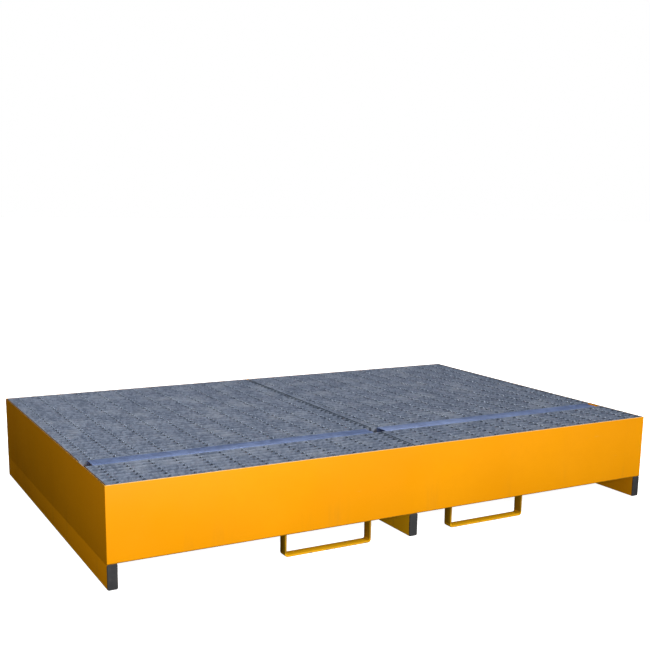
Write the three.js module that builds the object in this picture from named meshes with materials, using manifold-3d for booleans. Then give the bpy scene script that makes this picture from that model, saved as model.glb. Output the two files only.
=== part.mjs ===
// Spill containment pallet: a painted sheet-steel sump on three tubular runners, with flat-bar fork
// loops under its long edges and loose galvanised gratings as its deck.
// Millimetres, +X along the length, -Y the front, +Z up. The origin is on the ground, at the middle.

import * as THREE from "three";
import { mergeVertices } from "three/addons/utils/BufferGeometryUtils.js";
import Module from "manifold-3d";

const wasm = await Module();
wasm.setup();

// Driving dimensions
const OVERALL_LENGTH = 2680;
const OVERALL_DEPTH = 1730;
const OVERALL_HEIGHT = 400;
const SHEET = 3;
const WELD_GAP = 0.3;

const RUNNER_WIDTH = 40;
const RUNNER_HEIGHT = 100;
const RUNNER_WALL = 3;
const CAP_PLATE = 5;
const CAP_CORNER = 5;
const CAP_PLUG_DEPTH = 25;
const CAP_PLUG_CLEARANCE = 0.5;

const LOOP_WIDTH = 405;
const LOOP_BAR = 8;
const LOOP_BAR_WIDTH = 45;
const LOOP_SETBACK = 15;
const LOOP_BEND = 14;
const LOOP_SPACING = 815;

const GRATING_HEIGHT = 40;
const GRATING_RECESS = 0;
const GRATING_CLEARANCE = 5;
const BEARING_BAR = 3;
const BEARING_PITCH = 41;
const CROSS_ROD = 6;
const CROSS_ROD_SINK = 1;
const CROSS_ROD_PITCH = 100;
const FIRST_CROSS_ROD = 55;
const RODS_APART = 4;
const SEAM = 12;
const LIFT_CLEARANCE = 0.3;

const LEDGE_LEG = 50;
const LEDGE_SHEET = 4;

const CENTRE_SUPPORT_WIDTH = 100;
const BAY_SUPPORT_WIDTH = 60;
const SUPPORT_SHEET = 3;
const SUPPORT_END_GAP = 10;
const DRAIN_WIDTH = 60;
const DRAIN_HEIGHT = 35;
const DRAIN_PITCH = 380;

const FRONT_GRATING_DEPTH = 276;
const BEAM_WIDTH = 80;
const BEAM_WALL = 3;
const BEAM_WALL_GAP = 36;
const BEAM_SEAM_GAP = 32;

const BEND_SEGMENTS = 5;
const MERGE_DISTANCE = 1e-4;

// Sizes that follow from them
const HALF_LENGTH = OVERALL_LENGTH / 2;
const HALF_DEPTH = OVERALL_DEPTH / 2;
const INNER_HALF_LENGTH = HALF_LENGTH - SHEET;
const INNER_HALF_DEPTH = HALF_DEPTH - SHEET;
const SUMP_BASE = RUNNER_HEIGHT + WELD_GAP;
const FLOOR_TOP = SUMP_BASE + SHEET;
const SEAT = OVERALL_HEIGHT - GRATING_RECESS - GRATING_HEIGHT;
const LEDGE_TOP = SEAT - LIFT_CLEARANCE;

const yellowPaint = new THREE.MeshStandardMaterial({ color: 0xffa200, roughness: 0.45, metalness: 0.1 });
const galvanised = new THREE.MeshStandardMaterial({ color: 0x8a94a3, roughness: 0.5, metalness: 0.8 });
const blackPlastic = new THREE.MeshStandardMaterial({ color: 0x3a3a3c, roughness: 0.7, metalness: 0 });

const pallet = new THREE.Group();

function addPiece(name, geometry, material, x, y, z) {
  const mesh = new THREE.Mesh(geometry, material);
  mesh.name = name;
  mesh.position.set(x, y, z);
  pallet.add(mesh);
  return mesh;
}

// A box given by its lowest and highest corners.
function addPlate(name, material, low, high) {
  const size = high.map((value, axis) => value - low[axis]);
  const middle = high.map((value, axis) => (value + low[axis]) / 2);
  return addPiece(name, new THREE.BoxGeometry(...size), material, ...middle);
}

// Booleans between closed meshes
function toSolid(geometry) {
  const bare = geometry.clone();
  bare.deleteAttribute("normal");
  bare.deleteAttribute("uv");
  const merged = mergeVertices(bare, MERGE_DISTANCE);
  const mesh = new wasm.Mesh({
    numProp: 3,
    vertProperties: new Float32Array(merged.attributes.position.array),
    triVerts: new Uint32Array(merged.index.array),
  });
  return new wasm.Manifold(mesh);
}

function toGeometry(solid) {
  const mesh = solid.getMesh();
  const geometry = new THREE.BufferGeometry();
  geometry.setAttribute("position", new THREE.BufferAttribute(mesh.vertProperties, 3));
  geometry.setIndex(new THREE.BufferAttribute(mesh.triVerts, 1));
  geometry.computeVertexNormals();
  return geometry;
}

function boxSolid(width, depth, height, x, y, z) {
  return toSolid(new THREE.BoxGeometry(width, depth, height).translate(x, y, z));
}

// Profiles stand in the X-Z plane and are extruded along Y, centred on their length.
function extrudeAlongY(profile, length) {
  const geometry = new THREE.ExtrudeGeometry(profile, {
    depth: length,
    bevelEnabled: false,
    curveSegments: BEND_SEGMENTS,
  });
  return geometry.rotateX(Math.PI / 2).translate(0, length / 2, 0);
}

function extrudeAlongX(profile, length) {
  return extrudeAlongY(profile, length).rotateZ(-Math.PI / 2);
}

function rectangle(target, halfWidth, low, high) {
  target.moveTo(-halfWidth, low);
  target.lineTo(halfWidth, low);
  target.lineTo(halfWidth, high);
  target.lineTo(-halfWidth, high);
  target.closePath();
  return target;
}

function tubeProfile(width, height, wall) {
  const outline = rectangle(new THREE.Shape(), width / 2, 0, height);
  outline.holes.push(rectangle(new THREE.Path(), width / 2 - wall, wall, height - wall));
  return outline;
}

// Sump: floor plate and four walls
addPlate(
  "floor_plate",
  yellowPaint,
  [-INNER_HALF_LENGTH + WELD_GAP, -INNER_HALF_DEPTH + WELD_GAP, SUMP_BASE],
  [INNER_HALF_LENGTH - WELD_GAP, INNER_HALF_DEPTH - WELD_GAP, FLOOR_TOP],
);

for (const [name, side] of [["front_wall", -1], ["rear_wall", 1]]) {
  const middle = side * (HALF_DEPTH - SHEET / 2);
  addPlate(
    name,
    yellowPaint,
    [-HALF_LENGTH, middle - SHEET / 2, SUMP_BASE],
    [HALF_LENGTH, middle + SHEET / 2, OVERALL_HEIGHT],
  );
}

for (const [name, side] of [["left_end_wall", -1], ["right_end_wall", 1]]) {
  const middle = side * (HALF_LENGTH - SHEET / 2);
  addPlate(
    name,
    yellowPaint,
    [middle - SHEET / 2, -INNER_HALF_DEPTH + WELD_GAP, SUMP_BASE],
    [middle + SHEET / 2, INNER_HALF_DEPTH - WELD_GAP, OVERALL_HEIGHT],
  );
}

// Ledges: angles welded to the walls, level leg up, which carry the edges of the gratings
function ledgeProfile() {
  const angle = new THREE.Shape();
  angle.moveTo(0, 0);
  angle.lineTo(LEDGE_LEG, 0);
  angle.lineTo(LEDGE_LEG, -LEDGE_SHEET);
  angle.lineTo(LEDGE_SHEET, -LEDGE_SHEET);
  angle.lineTo(LEDGE_SHEET, -LEDGE_LEG);
  angle.lineTo(0, -LEDGE_LEG);
  angle.closePath();
  return angle;
}

function addLedge(name, length, x, y, turn) {
  const mesh = addPiece(name, extrudeAlongY(ledgeProfile(), length), yellowPaint, x, y, LEDGE_TOP);
  mesh.rotation.z = turn;
}

const endLedgeLength = 2 * (INNER_HALF_DEPTH - WELD_GAP);
addLedge("left_end_ledge", endLedgeLength, -INNER_HALF_LENGTH + WELD_GAP, 0, 0);
addLedge("right_end_ledge", endLedgeLength, INNER_HALF_LENGTH - WELD_GAP, 0, Math.PI);

// The front and the rear ledge are each in two lengths, which meet over the centre support.
const sideLedgeStart = WELD_GAP / 2;
const sideLedgeEnd = INNER_HALF_LENGTH - LEDGE_LEG - 2 * WELD_GAP;
const sideLedgeMiddle = (sideLedgeStart + sideLedgeEnd) / 2;
for (const [row, frontOrRear, turn] of [["front", -1, Math.PI / 2], ["rear", 1, -Math.PI / 2]]) {
  const y = frontOrRear * (INNER_HALF_DEPTH - WELD_GAP);
  for (const [hand, side] of [["left", -1], ["right", 1]]) {
    const length = sideLedgeEnd - sideLedgeStart;
    addLedge(`${row}_${hand}_ledge`, length, side * sideLedgeMiddle, y, turn);
  }
}

// Supports: from front to back on the floor plate, each welded from a top strip and two upright webs
const supportLength = 2 * (INNER_HALF_DEPTH - WELD_GAP - LEDGE_LEG - SUPPORT_END_GAP);
const webFoot = FLOOR_TOP + WELD_GAP;
const webHeight = LEDGE_TOP - SUPPORT_SHEET - WELD_GAP - webFoot;

// The drain gaps open at the web's foot.
function webGeometry() {
  let web = boxSolid(SUPPORT_SHEET, supportLength, webHeight, 0, 0, webHeight / 2);
  const throughTheWeb = 2 * SUPPORT_SHEET;
  const pastTheFoot = 2 * DRAIN_HEIGHT;
  const gaps = Math.max(1, Math.floor(supportLength / DRAIN_PITCH));
  for (let i = 0; i < gaps; i += 1) {
    const y = (i - (gaps - 1) / 2) * DRAIN_PITCH;
    web = web.subtract(boxSolid(throughTheWeb, DRAIN_WIDTH, pastTheFoot, 0, y, 0));
  }
  return toGeometry(web);
}

const supports = [
  ["left_bay_support", BAY_SUPPORT_WIDTH, -HALF_LENGTH / 2],
  ["centre_support", CENTRE_SUPPORT_WIDTH, 0],
  ["right_bay_support", BAY_SUPPORT_WIDTH, HALF_LENGTH / 2],
];
for (const [name, width, x] of supports) {
  addPlate(
    `${name}_top`,
    yellowPaint,
    [x - width / 2, -supportLength / 2, LEDGE_TOP - SUPPORT_SHEET],
    [x + width / 2, supportLength / 2, LEDGE_TOP],
  );
  for (const [hand, side] of [["left", -1], ["right", 1]]) {
    const middle = x + (side * (width - SUPPORT_SHEET)) / 2;
    addPiece(`${name}_${hand}_web`, webGeometry(), yellowPaint, middle, 0, webFoot);
  }
}

// Deck rows, measured from the inside of the front wall: front gratings, cross beams, rear gratings
const frontRowStart = -INNER_HALF_DEPTH + GRATING_CLEARANCE;
const frontRowEnd = frontRowStart + FRONT_GRATING_DEPTH;
const beamStart = frontRowEnd + GRATING_CLEARANCE;
const beamEnd = beamStart + BEAM_WIDTH;
const rearRowStart = beamEnd + GRATING_CLEARANCE;
const rearRowEnd = INNER_HALF_DEPTH - GRATING_CLEARANCE;

// Cross beams: rectangular tubes along X, whose ends stop short of the wall and of the seam
const beamLength = INNER_HALF_LENGTH - BEAM_WALL_GAP - BEAM_SEAM_GAP;
const beamMiddle = BEAM_SEAM_GAP + beamLength / 2;
const beamProfile = tubeProfile(BEAM_WIDTH, GRATING_HEIGHT, BEAM_WALL);
for (const [name, side] of [["left_cross_beam", -1], ["right_cross_beam", 1]]) {
  const geometry = extrudeAlongX(beamProfile, beamLength);
  addPiece(name, geometry, galvanised, side * beamMiddle, (beamStart + beamEnd) / 2, SEAT);
}

// Gratings: bearing bars along X, banding bars across their ends, cross rods just below the top.
// The rods follow their real pitch, with every fourth one in place.
const gratingLength = INNER_HALF_LENGTH - GRATING_CLEARANCE - SEAM / 2;
const gratingMiddle = SEAM / 2 + gratingLength / 2;

function gratingGeometry(length, depth) {
  const inside = length / 2 - BEARING_BAR;
  const gaps = Math.round((depth - BEARING_BAR) / BEARING_PITCH);
  const pitch = (depth - BEARING_BAR) / gaps;
  const frame = new THREE.Shape();
  rectangle(frame, length / 2, -depth / 2, depth / 2);
  for (let i = 0; i < gaps; i += 1) {
    const low = -depth / 2 + BEARING_BAR + i * pitch;
    frame.holes.push(rectangle(new THREE.Path(), inside, low, low + pitch - BEARING_BAR));
  }
  const extruded = new THREE.ExtrudeGeometry(frame, { depth: GRATING_HEIGHT, bevelEnabled: false });
  let solid = toSolid(extruded);
  const rodStep = RODS_APART * CROSS_ROD_PITCH;
  const rodHeight = GRATING_HEIGHT - CROSS_ROD_SINK - CROSS_ROD / 2;
  for (let along = FIRST_CROSS_ROD + rodStep / 2; along < length - CROSS_ROD_PITCH; along += rodStep) {
    const x = along - length / 2;
    solid = solid.add(boxSolid(CROSS_ROD, depth - BEARING_BAR, CROSS_ROD, x, 0, rodHeight));
  }
  return toGeometry(solid);
}

const rows = [
  ["front", frontRowStart, frontRowEnd],
  ["rear", rearRowStart, rearRowEnd],
];
for (const [row, start, end] of rows) {
  for (const [hand, side] of [["left", -1], ["right", 1]]) {
    const geometry = gratingGeometry(gratingLength, end - start);
    addPiece(`${row}_${hand}_grating`, geometry, galvanised, side * gratingMiddle, (start + end) / 2, SEAT);
  }
}

// Runners: rectangular tubes from front to back, with a plastic cap in each end
function capGeometry() {
  const plate = new THREE.Shape();
  const half = RUNNER_WIDTH / 2;
  const top = RUNNER_HEIGHT - CAP_CORNER;
  plate.moveTo(-half + CAP_CORNER, 0);
  plate.lineTo(half - CAP_CORNER, 0);
  plate.absarc(half - CAP_CORNER, CAP_CORNER, CAP_CORNER, -Math.PI / 2, 0, false);
  plate.lineTo(half, top);
  plate.absarc(half - CAP_CORNER, top, CAP_CORNER, 0, Math.PI / 2, false);
  plate.lineTo(-half + CAP_CORNER, RUNNER_HEIGHT);
  plate.absarc(-half + CAP_CORNER, top, CAP_CORNER, Math.PI / 2, Math.PI, false);
  plate.lineTo(-half, CAP_CORNER);
  plate.absarc(-half + CAP_CORNER, CAP_CORNER, CAP_CORNER, Math.PI, 1.5 * Math.PI, false);
  const inset = RUNNER_WALL + CAP_PLUG_CLEARANCE;
  const plugWidth = RUNNER_WIDTH - 2 * inset;
  const plugHeight = RUNNER_HEIGHT - 2 * inset;
  const plugDepth = CAP_PLUG_DEPTH + CAP_PLATE / 2;
  const plug = boxSolid(plugWidth, plugDepth, plugHeight, 0, plugDepth / 2, RUNNER_HEIGHT / 2);
  return toGeometry(toSolid(extrudeAlongY(plate, CAP_PLATE)).add(plug));
}

const runnerLength = OVERALL_DEPTH - 2 * (CAP_PLATE + WELD_GAP);
const runners = [
  ["left_runner", -HALF_LENGTH + RUNNER_WIDTH / 2],
  ["centre_runner", 0],
  ["right_runner", HALF_LENGTH - RUNNER_WIDTH / 2],
];
for (const [name, x] of runners) {
  const tube = extrudeAlongY(tubeProfile(RUNNER_WIDTH, RUNNER_HEIGHT, RUNNER_WALL), runnerLength);
  addPiece(name, tube, yellowPaint, x, 0, 0);
  const capOffset = HALF_DEPTH - CAP_PLATE / 2;
  addPiece(`${name}_front_cap`, capGeometry(), blackPlastic, x, -capOffset, 0);
  const rearCap = addPiece(`${name}_rear_cap`, capGeometry(), blackPlastic, x, capOffset, 0);
  rearCap.rotation.z = Math.PI;
}

// Fork loops: flat bar bent to a U, hung under the sump along its front and rear edges
function loopProfile(height) {
  const half = LOOP_WIDTH / 2;
  const inner = half - LOOP_BAR;
  const innerBend = LOOP_BEND - LOOP_BAR;
  const bar = new THREE.Shape();
  bar.moveTo(-half, height);
  bar.lineTo(-half, LOOP_BEND);
  bar.absarc(-half + LOOP_BEND, LOOP_BEND, LOOP_BEND, Math.PI, 1.5 * Math.PI, false);
  bar.lineTo(half - LOOP_BEND, 0);
  bar.absarc(half - LOOP_BEND, LOOP_BEND, LOOP_BEND, 1.5 * Math.PI, 2 * Math.PI, false);
  bar.lineTo(half, height);
  bar.lineTo(inner, height);
  bar.lineTo(inner, LOOP_BEND);
  bar.absarc(inner - innerBend, LOOP_BEND, innerBend, 0, -Math.PI / 2, true);
  bar.lineTo(-inner + innerBend, LOOP_BAR);
  bar.absarc(-inner + innerBend, LOOP_BEND, innerBend, -Math.PI / 2, -Math.PI, true);
  bar.lineTo(-inner, height);
  bar.closePath();
  return bar;
}

for (const [row, side] of [["front", -1], ["rear", 1]]) {
  for (const [hand, way] of [["left", -1], ["right", 1]]) {
    const geometry = extrudeAlongY(loopProfile(RUNNER_HEIGHT), LOOP_BAR_WIDTH);
    const y = side * (HALF_DEPTH - LOOP_SETBACK - LOOP_BAR_WIDTH / 2);
    addPiece(`${row}_${hand}_fork_loop`, geometry, yellowPaint, (way * LOOP_SPACING) / 2, y, 0);
  }
}

export default pallet;
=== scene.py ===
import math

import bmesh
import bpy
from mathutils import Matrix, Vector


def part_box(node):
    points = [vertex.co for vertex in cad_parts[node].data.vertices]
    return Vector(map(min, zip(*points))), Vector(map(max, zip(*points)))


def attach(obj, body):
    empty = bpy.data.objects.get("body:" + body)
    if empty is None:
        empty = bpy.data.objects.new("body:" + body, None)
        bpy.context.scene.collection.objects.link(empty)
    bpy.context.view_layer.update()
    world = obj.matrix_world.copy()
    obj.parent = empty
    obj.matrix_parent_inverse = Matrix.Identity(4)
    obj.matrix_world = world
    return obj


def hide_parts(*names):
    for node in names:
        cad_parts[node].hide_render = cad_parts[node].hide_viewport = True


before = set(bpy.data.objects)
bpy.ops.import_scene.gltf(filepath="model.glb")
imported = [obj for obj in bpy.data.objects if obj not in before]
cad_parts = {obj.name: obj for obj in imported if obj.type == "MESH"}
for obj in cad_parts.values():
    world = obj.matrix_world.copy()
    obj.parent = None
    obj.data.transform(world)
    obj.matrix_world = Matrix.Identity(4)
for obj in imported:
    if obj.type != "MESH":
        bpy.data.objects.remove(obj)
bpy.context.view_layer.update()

# Spill containment pallet: a painted sheet-steel sump on three tubular runners, with flat-bar fork
# loops under its long edges and a deck of loose galvanised gratings. Metres, +X along the length,
# -Y the front, +Z up, with the origin on the ground at the middle.

MM = 0.001
SUMP = "sump"
X, Y, Z = 0, 1, 2


# ---------------------------------------------------------------- camera, light and floor

CAMERA_PLACE = (-2.2946, -4.1950, 1.4120)
CAMERA_TURN = (78.932, -0.918, -29.272)
CAMERA_LENS = 54.295
CAMERA_SENSOR = 36.0
CAMERA_SHIFT = (-0.0106, 0.1038)
FLOOR_SIZE = 120.0
FLOOR_GAP = 0.4 * MM
LEFT_TINT = (0.85, 1.0, 0.8)
WHITE = (1, 1, 1, 1)
PAPER_GREY = (0.9, 0.9, 0.9, 1)
PAPER_GLOW = 0.93


def add_camera():
    """A camera at standing height, off the front left corner of the pallet."""
    turn = [math.radians(angle) for angle in CAMERA_TURN]
    bpy.ops.object.camera_add(location=CAMERA_PLACE, rotation=turn)
    camera = bpy.context.object
    camera.name = "camera"
    camera.data.sensor_width = CAMERA_SENSOR
    camera.data.lens = CAMERA_LENS
    camera.data.shift_x, camera.data.shift_y = CAMERA_SHIFT
    camera.data.clip_end = 2 * FLOOR_SIZE
    bpy.context.scene.camera = camera


def aim(lamp, target):
    """Turns a lamp so that it shines from its place towards a target."""
    way = Vector(target) - lamp.location
    lamp.rotation_euler = way.to_track_quat("-Z", "Y").to_euler()


def add_sun(name, place, strength, spread, colour=(1, 1, 1)):
    """Even light from one direction, softened by its spread in degrees."""
    bpy.ops.object.light_add(type="SUN", location=place)
    lamp = bpy.context.object
    lamp.name = name
    lamp.data.energy = strength
    lamp.data.angle = math.radians(spread)
    lamp.data.color = colour
    aim(lamp, (0, 0, 0))


def add_softbox(name, place, target, width, height, power):
    """A rectangular softbox."""
    bpy.ops.object.light_add(type="AREA", location=place)
    lamp = bpy.context.object
    lamp.name = name
    lamp.data.shape = "RECTANGLE"
    lamp.data.size = width
    lamp.data.size_y = height
    lamp.data.energy = power
    aim(lamp, target)


def add_studio():
    """A white room: a key from the front right, a soft sky, weak fills, and a softbox at the front."""
    add_sun("key_sun", (1.6, -4.3, 2.4), 2.2, 8)
    add_sun("sky_dome", (0, 0, 5), 0.95, 150)
    add_sun("left_fill", (-5, 1.5, 3.5), 0.27, 40, LEFT_TINT)
    add_sun("rear_fill", (1.6, 2.6, 4.6), 1.5, 30)
    add_softbox("front_softbox", (-1.7, -4.5, 1.3), (-0.6, -0.85, 0.25), 1.4, 1.0, 82)

    world = bpy.data.worlds.new("white_room")
    bpy.context.scene.world = world
    world.use_nodes = True
    background = world.node_tree.nodes["Background"]
    background.inputs["Color"].default_value = WHITE
    background.inputs["Strength"].default_value = 1.0
    world.cycles_visibility.diffuse = False
    world.cycles_visibility.glossy = False
    world.cycles_visibility.transmission = False
    world.cycles_visibility.scatter = False
    bpy.context.scene.view_settings.view_transform = "Standard"

    bpy.ops.mesh.primitive_plane_add(size=FLOOR_SIZE, location=(0, 0, -FLOOR_GAP))
    floor = bpy.context.object
    floor.name = "studio_floor"
    paper = bpy.data.materials.new("white_paper")
    paper.use_nodes = True
    shader = paper.node_tree.nodes["Principled BSDF"]
    shader.inputs["Base Color"].default_value = PAPER_GREY
    shader.inputs["Roughness"].default_value = 1.0
    shader.inputs["Specular IOR Level"].default_value = 0.0
    shader.inputs["Emission Color"].default_value = WHITE
    shader.inputs["Emission Strength"].default_value = PAPER_GLOW
    floor.data.materials.append(paper)
    floor.visible_diffuse = False
    floor.visible_glossy = False


add_camera()
add_studio()


# ---------------------------------------------------------------- finishes

class Nodes:
    """A material's node tree, with short calls for the nodes that the finishes share."""

    def __init__(self, name):
        self.material = bpy.data.materials.new(name)
        self.material.use_nodes = True
        self.tree = self.material.node_tree
        self.shader = self.tree.nodes["Principled BSDF"]
        self.place = self.add("ShaderNodeTexCoord").outputs["Object"]

    def add(self, kind, **settings):
        node = self.tree.nodes.new(kind)
        for setting, value in settings.items():
            setattr(node, setting, value)
        return node

    def link(self, source, target):
        self.tree.links.new(source, target)

    def stretched(self, scale):
        """The place on the piece, scaled on each axis."""
        mapping = self.add("ShaderNodeMapping")
        mapping.inputs["Scale"].default_value = scale
        self.link(self.place, mapping.inputs["Vector"])
        return mapping.outputs["Vector"]

    def noise(self, scale, detail=3.0, roughness=0.5, place=None):
        node = self.add("ShaderNodeTexNoise")
        node.inputs["Scale"].default_value = scale
        node.inputs["Detail"].default_value = detail
        node.inputs["Roughness"].default_value = roughness
        self.link(place or self.place, node.inputs["Vector"])
        return node.outputs["Fac"]

    def cells(self, scale):
        """A random grey for each crystal of a Voronoi pattern."""
        node = self.add("ShaderNodeTexVoronoi")
        node.inputs["Scale"].default_value = scale
        self.link(self.place, node.inputs["Vector"])
        split = self.add("ShaderNodeSeparateColor")
        self.link(node.outputs["Color"], split.inputs["Color"])
        return split.outputs["Red"]

    def height(self):
        split = self.add("ShaderNodeSeparateXYZ")
        self.link(self.place, split.inputs["Vector"])
        return split.outputs["Z"]

    def ramp(self, value, start, end, low=0.0, high=1.0, smooth=True):
        """Carries a value from start..end to low..high, and holds it there outside."""
        node = self.add("ShaderNodeMapRange")
        node.interpolation_type = "SMOOTHSTEP" if smooth else "LINEAR"
        node.inputs["From Min"].default_value = start
        node.inputs["From Max"].default_value = end
        node.inputs["To Min"].default_value = low
        node.inputs["To Max"].default_value = high
        self.link(value, node.inputs["Value"])
        return node.outputs["Result"]

    def times(self, first, second):
        node = self.add("ShaderNodeMath", operation="MULTIPLY")
        self.link(first, node.inputs[0])
        self.link(second, node.inputs[1])
        return node.outputs["Value"]

    def plus(self, first, second):
        node = self.add("ShaderNodeMath", operation="ADD")
        self.link(first, node.inputs[0])
        self.link(second, node.inputs[1])
        return node.outputs["Value"]

    def blend(self, amount, under, over):
        """One colour over another. Each is a colour value or a node's output."""
        node = self.add("ShaderNodeMix", data_type="RGBA")
        self.link(amount, node.inputs["Factor"])
        for colour, socket in ((under, node.inputs[6]), (over, node.inputs[7])):
            if isinstance(colour, tuple):
                socket.default_value = (*colour, 1)
            else:
                self.link(colour, socket)
        return node.outputs[2]

    def bump(self, value, depth, strength=1.0, under=None):
        node = self.add("ShaderNodeBump")
        node.inputs["Distance"].default_value = depth
        node.inputs["Strength"].default_value = strength
        self.link(value, node.inputs["Height"])
        if under:
            self.link(under, node.inputs["Normal"])
        return node.outputs["Normal"]

    def finish(self, colour, roughness, normal):
        self.link(colour, self.shader.inputs["Base Color"])
        self.link(roughness, self.shader.inputs["Roughness"])
        self.link(normal, self.shader.inputs["Normal"])
        return self.material


WALL_COLOURS = ((0.90, 0.335, 0.0018), (0.95, 0.362, 0.0022))
SKID_COLOURS = ((0.78, 0.385, 0.0050), (0.86, 0.430, 0.0070))
# Pale rubbed paint for the scuffs, and a painted highlight where it bands the front wall's top rim.
RUBBED_PAINT_AND_HIGHLIGHT = (0.95, 0.62, 0.22)
# Painted shade: the dark band along the top rim of the end and rear walls.
RIM_SHADE_TONE = (0.15, 0.105, 0.030)
GRIME = (0.34, 0.17, 0.03)
# Painted shade, used along the front wall's foot and on the loops under the sump.
PAINTED_SHADE_TONE = (0.15, 0.085, 0.008)
PRIMER = (0.16, 0.12, 0.07)
PAINT_SPECULAR = 0.12
PAINT_IOR = 1.5

# Painted highlight, painted shade and wear fade between two heights, counted from its edge or the
# ground, or over one height.
RIM_LIGHT_SHADE_BAND = (-2.2 * MM, -0.6 * MM)
FOOT_SHADE_BAND = (1.0 * MM, 5.5 * MM)
SHADE_FADE = 9 * MM
GROUND_RUB = (0.5 * MM, 7.0 * MM)
RESIDUE_FADE = 25 * MM
LOOP_SHADE_LEVEL = 12 * MM


def paint_finish(name, colours, rim=None, rim_colour=None, foot=None, ground_wear=False, shade_above=None,
                 residue=None):
    """Semi-gloss orange-yellow paint on sheet steel, from a thin to a thick coat.

    A rim gets a band of its own colour: a pale band is painted highlight with rubbed paint, a dark band
    is painted shade. Painted shade lies along a wall's foot, what stands on the ground is scuffed
    there, painted shade darkens a part above a height where the sump shades it, and what has leaked
    dries in blotches up to the height of the residue.
    """
    n = Nodes(name)
    thin, thick = colours
    colour = n.blend(n.ramp(n.noise(1.7, 2.0), 0.35, 0.65), thin, thick)
    patchy = n.noise(26.0, 5.0, 0.62)
    colour = n.blend(n.ramp(patchy, 0.30, 0.72, 0.0, 0.35), colour, thin)

    streaks = n.noise(9.0, 4.0, 0.7, n.stretched((1.0, 1.0, 0.12)))
    low_down = n.ramp(n.height(), 0.02, 0.24, 1.0, 0.15)
    dirt = n.times(n.ramp(streaks, 0.52, 0.78, 0.0, 0.30), low_down)
    colour = n.blend(dirt, colour, GRIME)

    scratches = n.noise(46.0, 2.0, 0.5, n.stretched((0.05, 0.05, 1.6)))
    scuffs = n.times(n.ramp(scratches, 0.68, 0.72, 0.0, 0.10), n.ramp(patchy, 0.54, 0.66))
    colour = n.blend(scuffs, colour, RUBBED_PAINT_AND_HIGHLIGHT)

    # A band of the rim colour along the top: painted highlight where it is pale, painted shade where it
    # is dark.
    if rim:
        rim_band_breakup = n.ramp(n.noise(60.0, 3.0, 0.6), 0.30, 0.62, 0.35, 0.95)
        at_rim = n.ramp(n.height(), rim + RIM_LIGHT_SHADE_BAND[0], rim + RIM_LIGHT_SHADE_BAND[1])
        colour = n.blend(n.times(at_rim, rim_band_breakup), colour, rim_colour)
    # Painted shade: a dark line along the wall's foot.
    if foot:
        foot_shade_breakup = n.ramp(n.noise(30.0, 4.0, 0.6), 0.25, 0.60, 0.45, 0.95)
        foot_shade_mask = n.ramp(n.height(), foot + FOOT_SHADE_BAND[0], foot + FOOT_SHADE_BAND[1], 1.0, 0.0)
        colour = n.blend(n.times(foot_shade_mask, foot_shade_breakup), colour, PAINTED_SHADE_TONE)
    # Painted shade: a part is darkened above a height, where the sump shades it.
    if shade_above:
        loop_shade_breakup = n.ramp(n.noise(14.0, 4.0, 0.6), 0.25, 0.65, 0.45, 0.75)
        above = n.ramp(n.height(), shade_above, shade_above + SHADE_FADE)
        colour = n.blend(n.times(above, loop_shade_breakup), colour, PAINTED_SHADE_TONE)
    if ground_wear:
        rub = n.ramp(n.noise(70.0, 5.0, 0.7), 0.50, 0.60)
        near_ground = n.ramp(n.height(), *GROUND_RUB, 1.0, 0.0)
        colour = n.blend(n.times(rub, near_ground), colour, PRIMER)
    if residue:
        blotches = n.ramp(n.noise(4.5, 6.0, 0.62), 0.50, 0.64, 0.0, 0.42)
        low_lying = n.ramp(n.height(), residue, residue + RESIDUE_FADE, 1.0, 0.0)
        colour = n.blend(n.times(blotches, low_lying), colour, GRIME)

    gloss = n.ramp(n.noise(5.0, 4.0, 0.6), 0.3, 0.7, 0.40, 0.54, smooth=False)
    peel = n.bump(n.noise(420.0, 1.0), 0.12 * MM, 0.35)
    dents = n.bump(n.noise(3.2, 1.0), 4.0 * MM, 0.18, peel)
    material = n.finish(colour, n.plus(gloss, n.ramp(dirt, 0.0, 0.3, 0.0, 0.25)), dents)
    n.shader.inputs["Specular IOR Level"].default_value = PAINT_SPECULAR
    n.shader.inputs["IOR"].default_value = PAINT_IOR
    return material


ZINC_DARK = (0.086, 0.112, 0.168)
ZINC_LIGHT = (0.224, 0.270, 0.362)
ZINC_BLOOM = (0.292, 0.330, 0.394)
# The beams' colours are zinc grey with a painted blue reflection mixed in.
BEAM_DARK = (0.066, 0.108, 0.245)
BEAM_LIGHT = (0.112, 0.168, 0.350)
BEAM_BLOOM = (0.140, 0.205, 0.380)
GRATING_CRYSTAL = 10 * MM
BEAM_CRYSTAL = 16 * MM
ZINC_METALLIC = 0.3


def zinc_finish(name, dark, light, bloom, crystal):
    """Hot-dip galvanising: crystals a few millimetres across, with cloudy bloom over them."""
    n = Nodes(name)
    grain = n.cells(1 / crystal)
    fine = n.cells(2.7 / crystal)
    cloud = n.noise(7.0, 4.0, 0.6)
    colour = n.blend(n.ramp(grain, 0.1, 0.9, 0.15, 0.85, smooth=False), dark, light)
    colour = n.blend(n.ramp(fine, 0.0, 1.0, 0.0, 0.35, smooth=False), colour, light)
    colour = n.blend(n.ramp(cloud, 0.45, 0.75, 0.0, 0.55), colour, bloom)
    gloss = n.plus(
        n.ramp(grain, 0.0, 1.0, 0.30, 0.46, smooth=False),
        n.ramp(cloud, 0.4, 0.8, 0.0, 0.16, smooth=False),
    )
    skin = n.bump(n.noise(160.0, 3.0, 0.6), 0.25 * MM, 0.5)
    material = n.finish(colour, gloss, n.bump(n.noise(22.0, 2.0), 0.8 * MM, 0.35, skin))
    n.shader.inputs["Metallic"].default_value = ZINC_METALLIC
    return material


PLASTIC_DARK = (0.034, 0.034, 0.036)
PLASTIC_PALE = (0.046, 0.046, 0.048)
PLASTIC_DUST = (0.16, 0.145, 0.12)
PLASTIC_SPECULAR = 0.25


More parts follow.
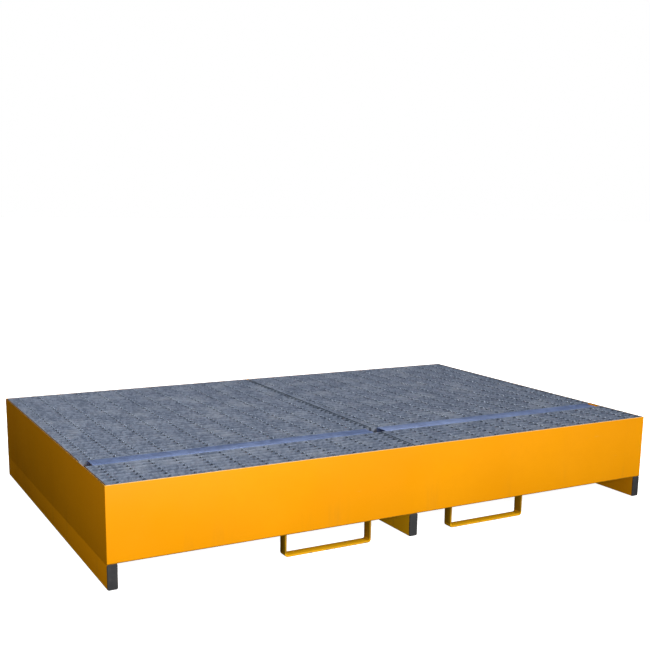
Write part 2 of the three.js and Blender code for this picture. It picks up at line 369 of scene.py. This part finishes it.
def plastic_finish(name):
    """Moulded black plastic with a fine matt grain, a little dusty."""
    n = Nodes(name)
    colour = n.blend(n.ramp(n.noise(18.0, 4.0, 0.6), 0.3, 0.7), PLASTIC_DARK, PLASTIC_PALE)
    dust = n.times(
        n.ramp(n.noise(34.0, 5.0, 0.65), 0.48, 0.75, 0.0, 0.22),
        n.ramp(n.height(), 0.0, 0.09, 1.0, 0.3),
    )
    colour = n.blend(dust, colour, PLASTIC_DUST)
    gloss = n.ramp(n.noise(40.0, 3.0), 0.3, 0.7, 0.52, 0.70, smooth=False)
    material = n.finish(colour, gloss, n.bump(n.noise(1100.0, 1.0), 0.06 * MM, 0.5))
    n.shader.inputs["Specular IOR Level"].default_value = PLASTIC_SPECULAR
    return material


wall_low, wall_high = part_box("front_wall")
# Front wall: a pale band of painted highlight with rubbed paint along the rim, and painted shade along
# the foot.
wall_paint = paint_finish(
    "yellow_wall_paint", WALL_COLOURS, rim=wall_high.z, rim_colour=RUBBED_PAINT_AND_HIGHLIGHT, foot=wall_low.z,
)
# End and rear walls: a dark band of painted shade along the top rim.
end_paint = paint_finish(
    "yellow_end_paint", WALL_COLOURS, rim=wall_high.z, rim_colour=RIM_SHADE_TONE, ground_wear=True,
)
inner_paint = paint_finish(
    "yellow_sump_paint", WALL_COLOURS, residue=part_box("floor_plate")[1].z,
)
skid_paint = paint_finish("yellow_skid_paint", SKID_COLOURS, ground_wear=True)
# The loops carry painted shade above a low height, under the sump.
loop_paint = paint_finish(
    "yellow_loop_paint_and_shade", SKID_COLOURS, ground_wear=True, shade_above=LOOP_SHADE_LEVEL,
)
grating_zinc = zinc_finish("grating_zinc", ZINC_DARK, ZINC_LIGHT, ZINC_BLOOM, GRATING_CRYSTAL)
beam_zinc_and_blue_reflection = zinc_finish("beam_zinc_and_blue_reflection", BEAM_DARK, BEAM_LIGHT, BEAM_BLOOM, BEAM_CRYSTAL)
cap_plastic = plastic_finish("cap_plastic")


# ---------------------------------------------------------------- bench tools

# A direction counts as parallel above this cosine. SQUARE_ONLY is an angle in degrees: rounding only
# the edges that are sharper leaves bends as they are.
IN_LINE = 0.999
SQUARE_ONLY = 60


def deselect():
    for thing in bpy.context.selected_objects:
        thing.select_set(False)


def choose(*pieces):
    """Selects these pieces only, with the first one active."""
    deselect()
    for piece in pieces:
        piece.select_set(True)
    bpy.context.view_layer.objects.active = pieces[0]


def named(name):
    piece = bpy.context.object
    piece.name = name
    piece.data.name = name
    return piece


def settle():
    """Puts the active piece's place, turn and size into its mesh."""
    bpy.ops.object.transform_apply(location=True, rotation=True, scale=True)


def block(name, low, high):
    """A block between two corners."""
    deselect()
    low, high = Vector(low), Vector(high)
    bpy.ops.mesh.primitive_cube_add(size=1, location=(low + high) / 2, scale=high - low)
    settle()
    return named(name)


def edit(piece, mode):
    """Opens a piece in edit mode with nothing selected."""
    choose(piece)
    bpy.ops.object.mode_set(mode="EDIT")
    bpy.ops.mesh.select_mode(type=mode)
    bpy.ops.mesh.select_all(action="DESELECT")
    return bmesh.from_edit_mesh(piece.data)


def leave_edit_mode():
    bpy.ops.object.mode_set(mode="OBJECT")


def pick(parts, test):
    """Selects the edges or faces that pass a test."""
    for part in parts:
        if test(part):
            part.select_set(True)


def runs_along(axis):
    """A test for edges that are parallel to an axis."""
    def test(edge):
        way = (edge.verts[1].co - edge.verts[0].co).normalized()
        return abs(way[axis]) > IN_LINE
    return test


def faces_way(axis, side):
    """A test for faces that look along an axis."""
    def test(face):
        return face.normal[axis] * side > IN_LINE
    return test


def round_edges(piece, radius, steps=2, angle=40):
    """Rounds every edge sharper than an angle."""
    choose(piece)
    bevel = piece.modifiers.new("round", "BEVEL")
    bevel.width = radius
    bevel.segments = steps
    bevel.limit_method = "ANGLE"
    bevel.angle_limit = math.radians(angle)
    bpy.ops.object.modifier_apply(modifier=bevel.name)


def thicken(piece, wall):
    """Gives a sheet its thickness, away from its outer face."""
    choose(piece)
    solidify = piece.modifiers.new("wall", "SOLIDIFY")
    solidify.thickness = wall
    solidify.offset = -1
    solidify.use_even_offset = True
    bpy.ops.object.modifier_apply(modifier=solidify.name)


def repeat(piece, count, step):
    """Copies a piece in a row inside its own mesh."""
    choose(piece)
    array = piece.modifiers.new("row", "ARRAY")
    array.count = count
    array.use_relative_offset = False
    array.use_constant_offset = True
    array.constant_offset_displace = step
    bpy.ops.object.modifier_apply(modifier=array.name)


def join(name, pieces):
    choose(*pieces)
    if len(pieces) > 1:
        bpy.ops.object.join()
    return named(name)


def smooth(piece, angle=35):
    choose(piece)
    bpy.ops.object.shade_smooth_by_angle(angle=math.radians(angle))


def hand_over(piece, finish, body=SUMP, replaces=()):
    """Smooths a finished piece, gives it its material and its body, and hides the nodes it stands for.
    """
    smooth(piece)
    piece.data.materials.clear()
    piece.data.materials.append(finish)
    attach(piece, body)
    if replaces:
        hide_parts(*replaces)


# ---------------------------------------------------------------- sump walls

SHEET_EDGE = 0.9 * MM
WALL_OVERLAP = 0.3 * MM
WALL_LAP = 4.7 * MM


def add_walls():
    """Front and rear walls run corner to corner. The end walls lap over the runners' corners."""
    for node, paint in (("front_wall", wall_paint), ("rear_wall", end_paint)):
        low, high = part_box(node)
        sheet = block(f"{node}_sheet", low, high)
        round_edges(sheet, SHEET_EDGE, 3)
        hand_over(sheet, paint, replaces=[node])
    overlap = Vector((0, WALL_OVERLAP, 0))
    lap = Vector((0, 0, WALL_LAP))
    for node in ("left_end_wall", "right_end_wall"):
        low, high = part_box(node)
        sheet = block(f"{node}_sheet", low - overlap - lap, high + overlap)
        round_edges(sheet, SHEET_EDGE, 3)
        hand_over(sheet, end_paint, replaces=[node])


# ---------------------------------------------------------------- tubes

TUBE_CORNER_STEPS = 5
TUBE_END_EDGE = 0.4 * MM


def tube(name, low, high, along, corner, wall):
    """A rectangular tube with rounded corners and open ends."""
    piece = block(name, low, high)
    shape = edit(piece, "EDGE")
    pick(shape.edges, runs_along(along))
    bpy.ops.mesh.bevel(offset=corner, segments=TUBE_CORNER_STEPS, affect="EDGES")
    leave_edit_mode()
    shape = edit(piece, "FACE")
    pick(shape.faces, faces_way(along, 1))
    pick(shape.faces, faces_way(along, -1))
    bpy.ops.mesh.delete(type="FACE")
    leave_edit_mode()
    thicken(piece, wall)
    round_edges(piece, TUBE_END_EDGE, 2, SQUARE_ONLY)
    return piece


BEAM_CORNER = 6 * MM
BEAM_WALL = 3 * MM
RUNNER_CORNER = 5 * MM
RUNNER_WALL = 3 * MM


def add_beams_and_runners():
    for node in ("left_cross_beam", "right_cross_beam"):
        low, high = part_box(node)
        beam = tube(f"{node}_tube", low, high, X, BEAM_CORNER, BEAM_WALL)
        hand_over(beam, beam_zinc_and_blue_reflection, replaces=[node])
    runners = (("left_runner", end_paint), ("centre_runner", skid_paint), ("right_runner", end_paint))
    for node, paint in runners:
        low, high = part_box(node)
        runner = tube(f"{node}_tube", low, high, Y, RUNNER_CORNER, RUNNER_WALL)
        hand_over(runner, paint, replaces=[node])


# ---------------------------------------------------------------- runner caps

CAP_PLATE = 5 * MM
CAP_CORNER = 6 * MM
CAP_CORNER_STEPS = 5
CAP_FACE_EDGE = 2.2 * MM
CAP_FACE_STEPS = 3
CAP_STEM_INSET = 6.5 * MM
CAP_FIN_REACH = 2.6 * MM
CAP_FIN = 1.2 * MM
CAP_FIN_STEP = 7 * MM
CAP_FINS = 3


def push(way):
    bpy.ops.mesh.extrude_region_move(TRANSFORM_OT_translate={"value": way})


def spread(amount, centre, size):
    """Grows the selected face by an amount on each side, across the runner."""
    grown = (1 + 2 * amount / size[X], 1, 1 + 2 * amount / size[Z])
    bpy.ops.transform.resize(value=grown, center_override=centre)


def cap(name, low, high, inward):
    """A tube cap: a rounded face plate, and a stem with fins that grip the inside of the tube."""
    plate_low, plate_high = Vector(low), Vector(high)
    if inward > 0:
        plate_high.y = low.y + CAP_PLATE
    else:
        plate_low.y = high.y - CAP_PLATE
    piece = block(name, plate_low, plate_high)
    shape = edit(piece, "EDGE")
    pick(shape.edges, runs_along(Y))
    bpy.ops.mesh.bevel(offset=CAP_CORNER, segments=CAP_CORNER_STEPS, affect="EDGES")
    leave_edit_mode()

    shape = edit(piece, "FACE")
    pick(shape.faces, faces_way(Y, -inward))
    bpy.ops.mesh.region_to_loop()
    bpy.ops.mesh.bevel(offset=CAP_FACE_EDGE, segments=CAP_FACE_STEPS, affect="EDGES")
    leave_edit_mode()

    shape = edit(piece, "FACE")
    pick(shape.faces, faces_way(Y, inward))
    bpy.ops.mesh.inset(thickness=CAP_STEM_INSET)
    centre = (plate_low + plate_high) / 2
    stem = plate_high - plate_low - Vector((2 * CAP_STEM_INSET, 0, 2 * CAP_STEM_INSET))
    finned = stem + Vector((2 * CAP_FIN_REACH, 0, 2 * CAP_FIN_REACH))
    for _ in range(CAP_FINS):
        push((0, inward * (CAP_FIN_STEP - CAP_FIN), 0))
        push((0, 0, 0))
        spread(CAP_FIN_REACH, centre, stem)
        push((0, inward * CAP_FIN, 0))
        push((0, 0, 0))
        spread(-CAP_FIN_REACH, centre, finned)
    length = high.y - low.y - CAP_PLATE - CAP_FINS * CAP_FIN_STEP
    push((0, inward * length, 0))
    leave_edit_mode()
    return piece


def add_caps():
    for hand in ("left", "centre", "right"):
        for end, inward in (("front", 1), ("rear", -1)):
            node = f"{hand}_runner_{end}_cap"
            low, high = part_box(node)
            plug = cap(f"{hand}_{end}_end_cap", low, high, inward)
            hand_over(plug, cap_plastic, replaces=[node])


# ---------------------------------------------------------------- fork loops

LOOP_BAR = 8 * MM
LOOP_BEND = 14 * MM
LOOP_BEND_STEPS = 7
LOOP_EDGE = 0.9 * MM


def fork_loop(name, low, high):
    """A flat bar bent twice into a stirrup, with both legs up to the sump."""
    deselect()
    middle = (low + high) / 2
    bpy.ops.mesh.primitive_plane_add(size=1, location=(middle.x, middle.y, low.z))
    piece = named(name)
    piece.scale = (high.x - low.x, high.y - low.y, 1)
    settle()
    shape = edit(piece, "EDGE")
    bpy.ops.mesh.select_all(action="SELECT")
    bpy.ops.mesh.flip_normals()
    bpy.ops.mesh.select_all(action="DESELECT")
    pick(shape.edges, runs_along(Y))
    bpy.ops.mesh.extrude_edges_move(TRANSFORM_OT_translate={"value": (0, 0, high.z - low.z)})
    bpy.ops.mesh.select_all(action="DESELECT")
    shape = bmesh.from_edit_mesh(piece.data)
    pick(shape.edges, lambda edge: runs_along(Y)(edge) and edge.verts[0].co.z < low.z + MM)
    bpy.ops.mesh.bevel(offset=LOOP_BEND, segments=LOOP_BEND_STEPS, affect="EDGES")
    leave_edit_mode()
    thicken(piece, LOOP_BAR)
    round_edges(piece, LOOP_EDGE, 2, SQUARE_ONLY)
    return piece


def add_fork_loops():
    for row in ("front", "rear"):
        for hand in ("left", "right"):
            node = f"{row}_{hand}_fork_loop"
            loop = fork_loop(f"{row}_{hand}_stirrup", *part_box(node))
            hand_over(loop, loop_paint, replaces=[node])


# ---------------------------------------------------------------- gratings

BEARING_BAR = 3 * MM
BEARING_PITCH = 41 * MM
BAR_EDGE = 0.4 * MM
CROSS_ROD = 6 * MM
ROD_PITCH = 100 * MM
FIRST_ROD = 55 * MM
ROD_TURN = 123 * MM
ROD_STEP = 10 * MM
ROD_DEPTH = 4.3 * MM
WELD_PAD = Vector((10.5, 7, 4.4)) * MM
WELD_PAD_EDGE = 1.5 * MM
WELD_PAD_DEPTH = 3.6 * MM


def twisted_rod(name, low_end, length):
    """A square rod twisted along its length, from a point along +Y."""
    half = CROSS_ROD / 2
    rod = block(name, (-half, -length / 2, -half), (half, length / 2, half))
    shape = edit(rod, "EDGE")
    pick(shape.edges, runs_along(Y))
    bpy.ops.mesh.subdivide(number_cuts=round(length / ROD_STEP))
    leave_edit_mode()
    twist = rod.modifiers.new("twist", "SIMPLE_DEFORM")
    twist.deform_method = "TWIST"
    twist.deform_axis = "Y"
    twist.angle = math.tau * length / ROD_TURN
    bpy.ops.object.modifier_apply(modifier=twist.name)
    rod.location = Vector(low_end) + Vector((0, length / 2, 0))
    settle()
    return rod


def grating(name, low, high):
    """A pressure-welded grating: upright bearing bars, twisted rods across them and end bands."""
    gaps = round((high.y - low.y - BEARING_BAR) / BEARING_PITCH)
    pitch = (high.y - low.y - BEARING_BAR) / gaps
    bar = block(
        "bearing_bars",
        (low.x + BEARING_BAR, low.y, low.z),
        (high.x - BEARING_BAR, low.y + BEARING_BAR, high.z),
    )
    round_edges(bar, BAR_EDGE, 1)
    repeat(bar, gaps + 1, (0, pitch, 0))

    band = block("end_bands", low, (low.x + BEARING_BAR, high.y, high.z))
    round_edges(band, BAR_EDGE, 1)
    repeat(band, 2, (high.x - low.x - BEARING_BAR, 0, 0))

    rods = 1 + int((high.x - low.x - FIRST_ROD - BEARING_BAR) / ROD_PITCH)
    first = Vector((low.x + FIRST_ROD, low.y + BEARING_BAR / 2, high.z - ROD_DEPTH))
    rod = twisted_rod("cross_rods", first, high.y - low.y - BEARING_BAR)
    repeat(rod, rods, (ROD_PITCH, 0, 0))

    middle = Vector((first.x, first.y, high.z - WELD_PAD_DEPTH))
    pad = block("weld_pads", middle - WELD_PAD / 2, middle + WELD_PAD / 2)
    round_edges(pad, WELD_PAD_EDGE, 1)
    repeat(pad, gaps + 1, (0, pitch, 0))
    repeat(pad, rods, (ROD_PITCH, 0, 0))
    return join(name, [bar, band, rod, pad])


def add_gratings():
    for row in ("front", "rear"):
        for hand in ("left", "right"):
            node = f"{row}_{hand}_grating"
            panel = grating(f"{row}_{hand}_deck_panel", *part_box(node))
            hand_over(panel, grating_zinc, f"{row}_{hand}_deck", [node])


# ---------------------------------------------------------------- welds

WELD_RADIUS = 3.2 * MM
WELD_RIPPLE = 2.6 * MM
WELD_FLATNESS = 0.75
STITCH = 60 * MM
STITCH_PITCH = 240 * MM
SEAM_RADIUS = 4.5 * MM
SEAM_RIPPLE = 5.5 * MM
SEAM_STOP = 8 * MM


def weld(name, start, length, along, radius=WELD_RADIUS, ripple=WELD_RIPPLE):
    """One run of weld from a point: overlapping ripples, pressed a little flat into the joint."""
    deselect()
    bpy.ops.mesh.primitive_uv_sphere_add(segments=8, ring_count=5, radius=radius, location=start)
    bead = named(name)
    bpy.ops.transform.resize(value=(1, 1, WELD_FLATNESS), center_override=start)
    settle()
    step = [0, 0, 0]
    step[along] = ripple
    repeat(bead, max(2, round(length / ripple)), step)
    return bead


def add_runner_welds():
    """Stitches along both sides of each runner, where it meets the underside of the floor."""
    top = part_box("centre_runner")[1].z
    for hand in ("left", "centre", "right"):
        low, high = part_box(f"{hand}_runner")
        count = 1 + int((high.y - low.y - STITCH) / STITCH_PITCH)
        first = (low.y + high.y - STITCH - (count - 1) * STITCH_PITCH) / 2
        sides = [x for x in (low.x - WELD_RADIUS / 2, high.x + WELD_RADIUS / 2) if abs(x) < wall_high.x]
        runs = []
        for x in sides:
            run = weld("stitch", Vector((x, first, top - WELD_RADIUS / 2)), STITCH, Y)
            repeat(run, count, (0, STITCH_PITCH, 0))
            runs.append(run)
        stitches = join(f"{hand}_runner_stitches", runs)
        hand_over(stitches, skid_paint)


def add_loop_welds():
    """Fillets on both faces of each leg, where the flat bar meets the sump."""
    for row in ("front", "rear"):
        for hand in ("left", "right"):
            low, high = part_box(f"{row}_{hand}_fork_loop")
            faces = (low.x, low.x + LOOP_BAR, high.x - LOOP_BAR, high.x)
            start = low.y + WELD_RADIUS
            length = high.y - low.y - 2 * WELD_RADIUS
            height = high.z - WELD_RADIUS / 2
            runs = [weld("fillet", Vector((x, start, height)), length, Y) for x in faces]
            fillets = join(f"{row}_{hand}_stirrup_fillets", runs)
            hand_over(fillets, skid_paint)


def add_sump_seams():
    """The liquid-tight seams inside the sump: around the floor, and up the corners to the ledges."""
    front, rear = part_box("front_wall")[1].y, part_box("rear_wall")[0].y
    left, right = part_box("left_end_wall")[1].x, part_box("right_end_wall")[0].x
    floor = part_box("floor_plate")[1].z
    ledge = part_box("left_end_ledge")[0].z
    inset = SEAM_RADIUS / 2
    low = Vector((left + inset, front + inset, floor + inset))
    high = Vector((right - inset, rear - inset, ledge - SEAM_STOP))
    size = high - low
    bead = {"radius": SEAM_RADIUS, "ripple": SEAM_RIPPLE}
    for name, y in (("front", low.y), ("rear", high.y)):
        seam = weld(f"{name}_floor_seam", Vector((low.x, y, low.z)), size.x, X, **bead)
        hand_over(seam, inner_paint)
    for name, x in (("left", low.x), ("right", high.x)):
        seam = weld(f"{name}_floor_seam", Vector((x, low.y, low.z)), size.y, Y, **bead)
        hand_over(seam, inner_paint)
    corners = [weld("corner", Vector((x, y, low.z)), size.z, Z, **bead)
               for x in (low.x, high.x) for y in (low.y, high.y)]
    hand_over(join("sump_corner_seams", corners), inner_paint)


# ---------------------------------------------------------------- ledges and supports

LEDGE_SHEET = 4 * MM
LEDGE_BEND = 7 * MM
LEDGE_BEND_STEPS = 4
PLATE_EDGE = 0.8 * MM
STRIP_CORNER = 8 * MM
PLATE_CORNER_STEPS = 5
DRAIN_WIDTH = 60 * MM
DRAIN_HEIGHT = 35 * MM
DRAIN_PITCH = 380 * MM
DRAIN_CORNER = 14 * MM
WEB_EDGE = 0.5 * MM
WALL_OF = {"front": (Y, -1), "rear": (Y, 1), "left": (X, -1), "right": (X, 1)}


def angle_bar(name, low, high, wall):
    """A folded angle: a level leg on top, and an upright leg against the wall."""
    piece = block(name, low, high)
    kept = [(Z, 1), wall]
    shape = edit(piece, "FACE")
    for axis in (X, Y, Z):
        for side in (-1, 1):
            if (axis, side) not in kept:
                pick(shape.faces, faces_way(axis, side))
    bpy.ops.mesh.delete(type="FACE")
    leave_edit_mode()
    shape = edit(piece, "EDGE")
    pick(shape.edges, lambda edge: len(edge.link_faces) == 2)
    bpy.ops.mesh.bevel(offset=LEDGE_BEND, segments=LEDGE_BEND_STEPS, affect="EDGES")
    leave_edit_mode()
    thicken(piece, LEDGE_SHEET)
    round_edges(piece, PLATE_EDGE, 2, SQUARE_ONLY)
    return piece


def add_ledges():
    sides = {f"{row}_{hand}_ledge": row for row in ("front", "rear") for hand in ("left", "right")}
    sides.update({"left_end_ledge": "left", "right_end_ledge": "right"})
    for node, side in sides.items():
        low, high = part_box(node)
        ledge = angle_bar(f"{node}_angle", low, high, WALL_OF[side])
        hand_over(ledge, inner_paint, replaces=[node])


def top_strip(name, low, high):
    """The flat strip on a support, with its corners rounded off."""
    piece = block(name, low, high)
    shape = edit(piece, "EDGE")
    pick(shape.edges, runs_along(Z))
    bpy.ops.mesh.bevel(offset=STRIP_CORNER, segments=PLATE_CORNER_STEPS, affect="EDGES")
    leave_edit_mode()
    round_edges(piece, PLATE_EDGE, 2)
    return piece


def web(name, low, high):
    """An upright web with drain gaps along its foot, rounded at the top."""
    piece = block(name, low, high)
    gaps = max(1, int((high.y - low.y) / DRAIN_PITCH))
    first = (low.y + high.y) / 2 - (gaps - 1) * DRAIN_PITCH / 2
    arch = block(
        "drain_arches",
        (low.x - DRAIN_CORNER, first - DRAIN_WIDTH / 2, low.z - DRAIN_HEIGHT),
        (high.x + DRAIN_CORNER, first + DRAIN_WIDTH / 2, low.z + DRAIN_HEIGHT),
    )
    shape = edit(arch, "EDGE")
    pick(shape.edges, lambda edge: runs_along(X)(edge) and edge.verts[0].co.z > low.z)
    bpy.ops.mesh.bevel(offset=DRAIN_CORNER, segments=PLATE_CORNER_STEPS, affect="EDGES")
    leave_edit_mode()
    repeat(arch, gaps, (0, DRAIN_PITCH, 0))
    choose(piece)
    cut = piece.modifiers.new("drains", "BOOLEAN")
    cut.operation = "DIFFERENCE"
    cut.solver = "EXACT"
    cut.object = arch
    bpy.ops.object.modifier_apply(modifier=cut.name)
    choose(arch)
    bpy.ops.object.delete()
    round_edges(piece, WEB_EDGE, 1, SQUARE_ONLY)
    return piece


def add_supports():
    for support in ("left_bay_support", "centre_support", "right_bay_support"):
        node = f"{support}_top"
        strip = top_strip(f"{support}_strip", *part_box(node))
        hand_over(strip, inner_paint, replaces=[node])
        for hand in ("left", "right"):
            node = f"{support}_{hand}_web"
            plate = web(f"{support}_{hand}_upright", *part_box(node))
            hand_over(plate, inner_paint, replaces=[node])


def add_paint_to_floor_plate():
    """The floor is a plain flat plate, so it keeps its mesh and gets the sump's paint."""
    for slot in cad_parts["floor_plate"].material_slots:
        slot.material = inner_paint


add_walls()
add_beams_and_runners()
add_caps()
add_fork_loops()
add_gratings()
add_runner_welds()
add_loop_welds()
add_sump_seams()
add_ledges()
add_supports()
add_paint_to_floor_plate()
